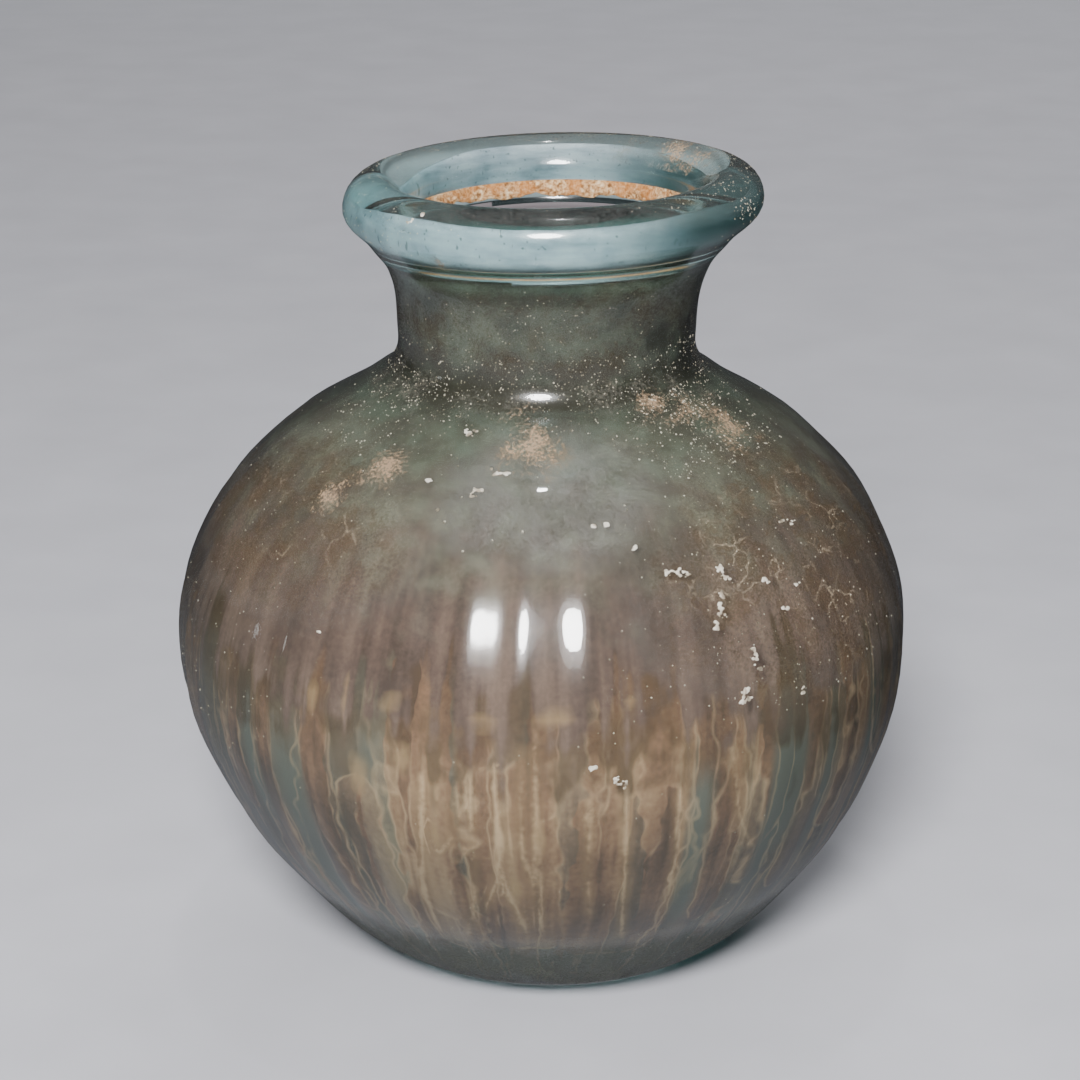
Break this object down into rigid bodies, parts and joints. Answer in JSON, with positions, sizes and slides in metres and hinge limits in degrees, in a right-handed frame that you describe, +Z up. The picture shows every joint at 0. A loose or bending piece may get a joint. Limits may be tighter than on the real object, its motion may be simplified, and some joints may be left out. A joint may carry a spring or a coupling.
{
  "type": "blown glass flask",
  "caption": "Globular blown glass flask with a short neck, a thick rim folded inward, soft upright ribs and a slightly hollow base.",
  "frame": {"origin": "centre of the bounding box at the resting surface, under the widest part of the body", "axes": "+Z up through the mouth, -Y towards the side that the picture shows, +X to its right"},
  "size_m": [0.075, 0.075, 0.0824],
  "materials": {
    "blown_glass": "glossy, weathered"
  },
  "bodies": {
    "root": {"glass_flask": "blown_glass"}
  },
  "joints": []
}
